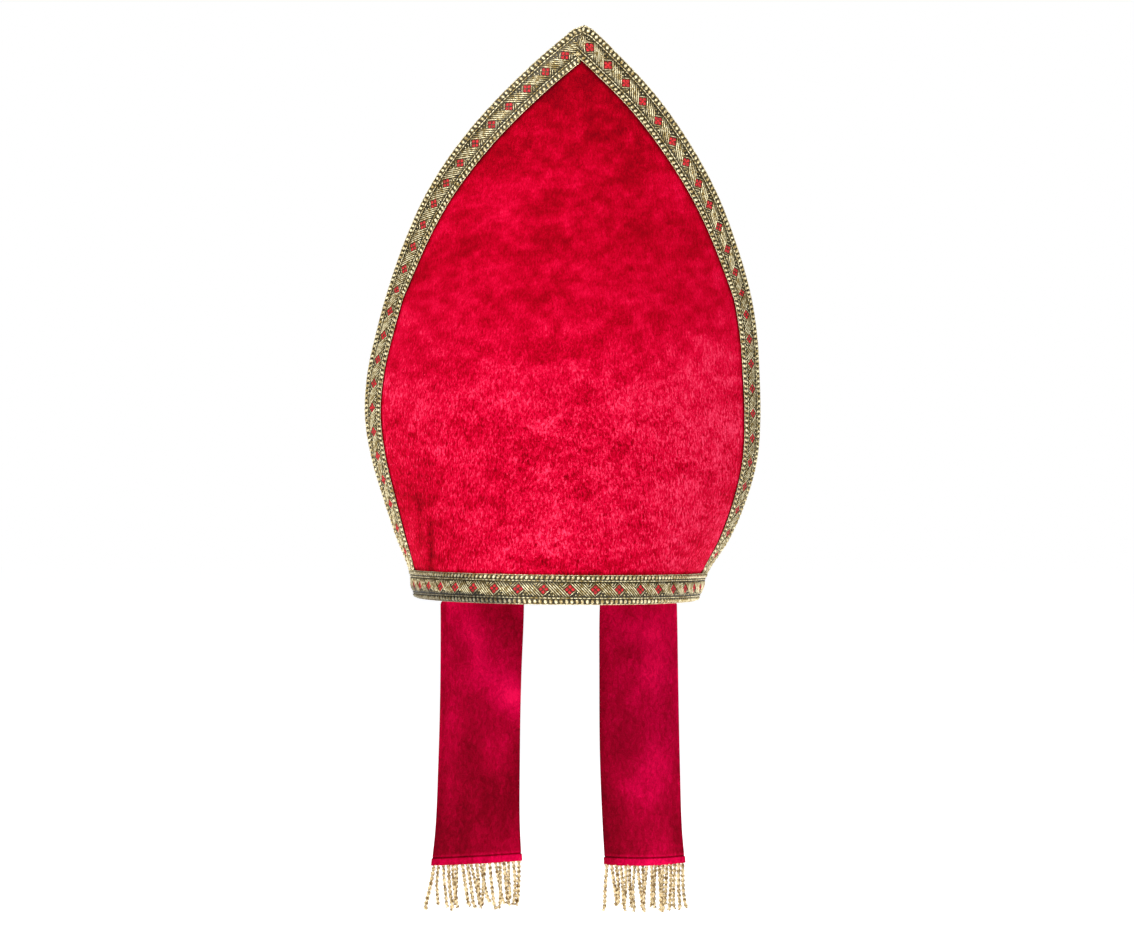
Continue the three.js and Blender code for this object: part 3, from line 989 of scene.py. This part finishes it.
# The right ribbon lies over the left one at the point.
RIBBONS = {}
for side, where in ((-1, "front"), (1, "back")):
    for end, hand in ((-1, "left"), (1, "right")):
        over = end > 0
        pieces = ribbon(
            f"{where}_ribbon_{hand}",
            edge_grid(side, end),
            f"{where}_trim_{hand}",
            backwards=side * end < 0,
            lifted=RIGHT_RIBBON_LIFT if over else 0.0,
        )
        for piece in pieces:
            mitred(piece, -1 if over else 1, 0.0 if over else LEFT_RIBBON_OVERLAP)
        RIBBONS[where, hand] = pieces
RIBBONS["hem"] = ribbon("hem_ribbon", hem_grid(), "hem_trim", loop=True)

# Painted shade on the hem ribbon, for its lower edge curling under at the front's left, and along
# its top above the corner.
for piece in RIBBONS["hem"]:
    x, y, z = np.array([v.co for v in piece.data.vertices]).T / MM
    across = (z + x * math.sin(LEAN)) * RIBBON_WIDTH / HEM_HEIGHT
    ragged = 3 * (cloud(x, y, 8, 300, 2) - 0.5)
    low = 0.68 * smooth(7.6, 6.0, across + ragged + 0.045 * (x + 70)) * smooth(-14, -36, x)
    high = 0.45 * smooth(13.6, 14.6, across) * smooth(-38, -58, x)
    set_value(piece, "painted_shade", np.where(y < 0, np.maximum(low, high), 0))


# ---------------------------------------------------------------- lappets and fringes


def lappet_point(table, w, z, off):
    """A point on a lappet: w from 0 to 1 across it, off outwards from its middle layer."""
    turn = np.radians(column(table, "turn", z))
    across = LAPPET_WIDTH * (w - 0.5)
    out_x, out_y = np.sign(table["x"][0]) * np.sin(turn), np.cos(turn)
    crest = 1 - (2 * w - 1) ** 2
    bulge = column(table, "curl", z) * crest + off
    return np.stack(
        np.broadcast_arrays(
            column(table, "x", z) + out_y * across + out_x * bulge,
            column(table, "back", z) - out_x * across + out_y * bulge,
            z - column(table, "slant", z) * (w - 0.5) - column(table, "sag", z) * crest,
        ),
        -1,
    )


def tucked_point(table, w, z, off):
    """The same point where the lappet is sewn flat against the inside of the back panel."""
    height = np.maximum(z, 1.0) + 0 * w
    u = np.zeros(height.shape)
    for _ in range(12):
        here, along, _ = panel_slopes(1, u, height)
        u = u + (table["x"][0] - here[..., 0]) / along[..., 0]
    _, along, _ = panel_slopes(1, u, height)
    u = u + LAPPET_WIDTH * (w - 0.5) / np.linalg.norm(along, axis=-1)
    depth = VELVET_WALL + TUCK_GAP + LAPPET_WALL / 2
    point = panel_point(1, u, height) + panel_normal(1, u, height) * (off - depth)[..., None]
    point[..., 2] = z
    return point


LAPPET_HEM = 4.4
LAPPET_SEEDS = {"left": 200, "right": 230}


def lappet_wave(hand, w, z):
    """How far a lappet's hanging cloth ripples outwards."""
    seed = LAPPET_SEEDS[hand]
    edge = np.minimum(w, 1 - w) * LAPPET_WIDTH
    broad = 1.3 * (cloud(w * 60, z * 0.7, 38, seed) - 0.5) * smooth(0, -30, z) * smooth(0, 9, edge)
    fine = 0.5 * (cloud(w * 60, z, 13, seed + 4) - 0.5) * smooth(0, -20, z) * smooth(0, 6, edge)
    return broad + fine


LAPPET_ROWS = 104
LAPPET_COLUMNS_ACROSS = 46
EDGE_ROUND = 1.3


def lappet_rows():
    """Heights of a lappet's rows: close together where its hem is folded and stitched."""
    stitched = LAPPET_BOTTOM + LAPPET_HEM
    fold = stitched + np.array([0.7, 0.35, 0.1, -0.15, -0.5, -0.9, -1.4, -2.2, -3.0])
    tucked = np.linspace(LAPPET_TUCK, 0.3, 8)
    hanging = np.linspace(-1.0, stitched + 1.2, LAPPET_ROWS)
    return np.concatenate([tucked, hanging, fold, LAPPET_BOTTOM + np.array([0.8, 0.3, 0.0])])


def rounded_edge(distance):
    """From 0 at a cloth's edge to 1 where it has its full thickness."""
    return np.sqrt(np.clip(1 - (1 - np.clip(distance / EDGE_ROUND, 0, 1)) ** 2, 0, 1))


def lappet_pile_and_painted_light(hand, x, z):
    """A lappet's pile: brushed patches with painted sheen in bright bands and patches, x from its
    middle.
    """
    seed = LAPPET_SEEDS[hand]
    if hand == "left":
        # Painted sheen down a slant from the upper left to the right edge, and darker from there
        # down.
        pile_and_painted_light = 0.47 + 0.29 * np.exp(-(((x - 4 + 0.62 * (z + 38)) / 15) ** 2)) * smooth(-95, -60, z)
        pile_and_painted_light += 0.08 * smooth(-120, -60, z) - 0.05 * smooth(-110, -150, z)
        # A small patch of painted sheen near the right edge.
        pile_and_painted_light += 0.26 * np.exp(-(((x - 27) / 7) ** 2 + ((z + 64) / 8) ** 2))
    else:
        # Painted sheen in an upright band right of the middle, and in a patch two thirds down.
        pile_and_painted_light = 0.6 + 0.16 * np.exp(-(((x - 12) / 12) ** 2)) * smooth(-5, -30, z)
        pile_and_painted_light += 0.07 * np.exp(-(((x + 8) / 18) ** 2 + ((z + 108) / 12) ** 2))
        pile_and_painted_light += 0.08 * smooth(-40, -5, z) - 0.24 * smooth(-115, -150, z)
    pile_and_painted_light += 0.42 * (cloud(x, z * 0.8, 22, seed + 10, 4) - 0.5)
    pile_and_painted_light += 0.16 * (cloud(x, z * 0.5, 7, seed + 14, 3) - 0.5)
    return pile_and_painted_light - 0.1 * smooth(7, 0, x + LAPPET_WIDTH / 2)


def make_lappet(name, hand, node):
    """A lappet: a double layer, tucked inside the hem, with its lower edge folded and stitched."""
    table = LAPPETS[hand]
    inner = np.linspace(0.035, 0.965, LAPPET_COLUMNS_ACROSS)
    w, z = np.meshgrid(np.concatenate([[0, 0.006, 0.018], inner, [0.982, 0.994, 1]]), lappet_rows())
    rise = z - LAPPET_BOTTOM
    hem = smooth(LAPPET_HEM + 0.25, LAPPET_HEM - 0.25, rise)
    stitch = np.exp(-(((rise - LAPPET_HEM - 0.35) / 0.45) ** 2))
    edge = np.minimum(w, 1 - w) * LAPPET_WIDTH
    rounded = np.minimum(rounded_edge(edge), 0.25 + 0.75 * rounded_edge(rise))
    half = LAPPET_WALL / 2 * (0.3 + 0.7 * rounded) + 0.28 * hem - 0.38 * stitch
    wave = lappet_wave(hand, w, z)
    free = smooth(0, 5, -z)[..., None]
    wide = 0.5 + (w - 0.5) * (1 + 0.012 * hem)
    faces = []
    for sign in (1, -1):
        tucked = tucked_point(table, w, z, sign * half)
        hanging = lappet_point(table, wide, np.minimum(z, 0), wave + sign * half)
        faces.append(tucked * (1 - free) + hanging * free)
    points, quads = cloth_mesh(*faces)
    piece = new_piece(name, points, quads, [lappet_velvet])
    # The folded hem band lighter, with painted shade in the stitched groove and a painted highlight
    # along the ridge above it.
    pile_and_painted_light = lappet_pile_and_painted_light(hand, (w - 0.5) * LAPPET_WIDTH, z) + 0.3 * hem - 0.25 * stitch
    pile_and_painted_light += 0.2 * np.exp(-(((rise - LAPPET_HEM - 1.3) / 0.5) ** 2))
    set_pile(piece, np.tile(pile_and_painted_light.ravel(), 2), 0.55)
    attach(piece, "root")
    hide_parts(node)
    return piece


CORD_LENGTH = 30.0
CORD_RINGS = 60
PLY_TURN = 6.2


def modelled_cord():
    """Two plies twisted together, hanging down from the origin."""
    deselected()
    bpy.ops.mesh.primitive_circle_add(
        vertices=7, radius=0.66, fill_type="NGON", location=(0.6, 0, 0)
    )
    item = bpy.context.object
    bpy.ops.object.transform_apply(location=True, rotation=True, scale=True)
    bpy.ops.object.mode_set(mode="EDIT")
    bpy.ops.mesh.select_all(action="SELECT")
    drop = CORD_LENGTH / CORD_RINGS
    for _ in range(CORD_RINGS):
        bpy.ops.mesh.extrude_region_move(TRANSFORM_OT_translate={"value": (0, 0, -drop)})
        bpy.ops.transform.rotate(
            value=2 * math.pi * drop / PLY_TURN, orient_axis="Z", center_override=(0, 0, 0)
        )
    bpy.ops.transform.resize(value=(0.5, 0.5, 1))
    bpy.ops.mesh.select_all(action="SELECT")
    bpy.ops.mesh.duplicate()
    bpy.ops.transform.rotate(value=math.pi, orient_axis="Z", center_override=(0, 0, 0))
    bpy.ops.mesh.select_all(action="SELECT")
    bpy.ops.mesh.normals_make_consistent(inside=False)
    bpy.ops.object.mode_set(mode="OBJECT")
    return taken(item)


CORD_POINTS, CORD_FACES = modelled_cord()

# How far each cord leans from hanging straight, in degrees, from the left edge to the right.
CORD_LEANS = {
    "left": [-13, -4, 2, 6, 3, -2, 9, 12, 15, 4, 12, -5, 8, 14, 3, 7, 1, 5, 0],
    "right": [-3, 6, 2, 7, -2, 3, 0, 8, 4, -3, 2, -6, 3, 0, -4, 2, -2, 1, 3],
}
FRINGE_TUCK = 1.6


def cord_path(tilt, length, root, sideways, outwards):
    """A cord's way down from its root, leaning, swaying and hooked at its end."""
    t = np.linspace(0, 1, CORD_RINGS)
    fall = t * length
    lean = math.tan(math.radians(tilt + rng.uniform(-2, 2)))
    sway = rng.uniform(-1.6, 1.6) * np.sin(t * rng.uniform(2.5, 6.0)) * t
    hook = rng.choice([-1, 1]) * 1.3 * np.clip((t - 0.86) / 0.14, 0, 1) ** 2
    aside = lean * np.maximum(fall - FRINGE_TUCK, 0) + sway + hook
    depth = rng.uniform(-0.6, 0.6) * t + rng.uniform(-0.5, 0.5) * np.sin(t * 4)
    drop = np.outer(FRINGE_TUCK - fall, [0, 0, 1])
    return root + np.outer(aside, sideways) + np.outer(depth, outwards) + drop


def cord_on(path, outwards, thick, turn):
    """The modelled cord's points, bent along a path."""
    tangent = unit(np.gradient(path, axis=0))
    front = unit(outwards - tangent * (tangent @ outwards)[:, None])
    right = np.cross(tangent, front)
    x, y, z = CORD_POINTS.T
    c, s = math.cos(turn), math.sin(turn)
    at = np.clip(-z / CORD_LENGTH, 0, 1) * (len(path) - 1.001)
    i = at.astype(int)
    f = (at - i)[:, None]
    middle, right, front = (rows[i] * (1 - f) + rows[i + 1] * f for rows in (path, right, front))
    beside, before = (x * c - y * s) * thick, (x * s + y * c) * thick
    return middle + right * beside[:, None] + front * before[:, None]


def make_fringe(name, hand, node):
    """A row of cords, rooted inside the lappet's lower edge."""
    table, bottom = LAPPETS[hand], np.array(LAPPET_BOTTOM)
    leans = CORD_LEANS[hand]
    points, faces = [], []
    for k, tilt in enumerate(leans):
        w = np.array((k + 0.5) / len(leans) + rng.uniform(-0.008, 0.008))
        length = rng.uniform(24.5, 29.5) + FRINGE_TUCK
        thick = rng.uniform(0.92, 1.12)
        ripple = lappet_wave(hand, w, bottom)
        root = lappet_point(table, w, bottom, ripple)
        ahead = lappet_point(table, w + 0.01, bottom, ripple)
        sideways = unit((ahead - root) * np.array([1, 1, 0]))
        outwards = np.array([-sideways[1], sideways[0], 0])
        path = cord_path(tilt, length, root, sideways, outwards)
        points.append(cord_on(path, outwards, thick, rng.uniform(0, 2 * math.pi)))
        faces += [[v + k * len(CORD_POINTS) for v in face] for face in CORD_FACES]
    piece = new_piece(name, np.concatenate(points), faces, [bullion])
    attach(piece, "root")
    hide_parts(node)
    return piece


lappets, fringes = {}, {}
for hand in ("left", "right"):
    lappets[hand] = make_lappet(f"lappet_{hand}_velvet", hand, f"lappet_{hand}")
    fringes[hand] = make_fringe(f"fringe_{hand}_cords", hand, f"fringe_{hand}")


# ---------------------------------------------------------------- floor

deselected()
bpy.ops.mesh.primitive_circle_add(vertices=64, radius=14, fill_type="NGON", location=(0, 0, -0.34))
floor = bpy.context.object
floor.name = "studio_floor"
bpy.ops.object.transform_apply(location=True, rotation=True, scale=True)
pale, tree = new_material("pale_studio_floor")
finish_surface(
    tree,
    {
        "Base Color": linear("#F0F0F0"),
        "Roughness": 0.9,
        "Emission Color": (1, 1, 1, 1),
        "Emission Strength": 0.76,
    },
)
floor.data.materials.append(pale)
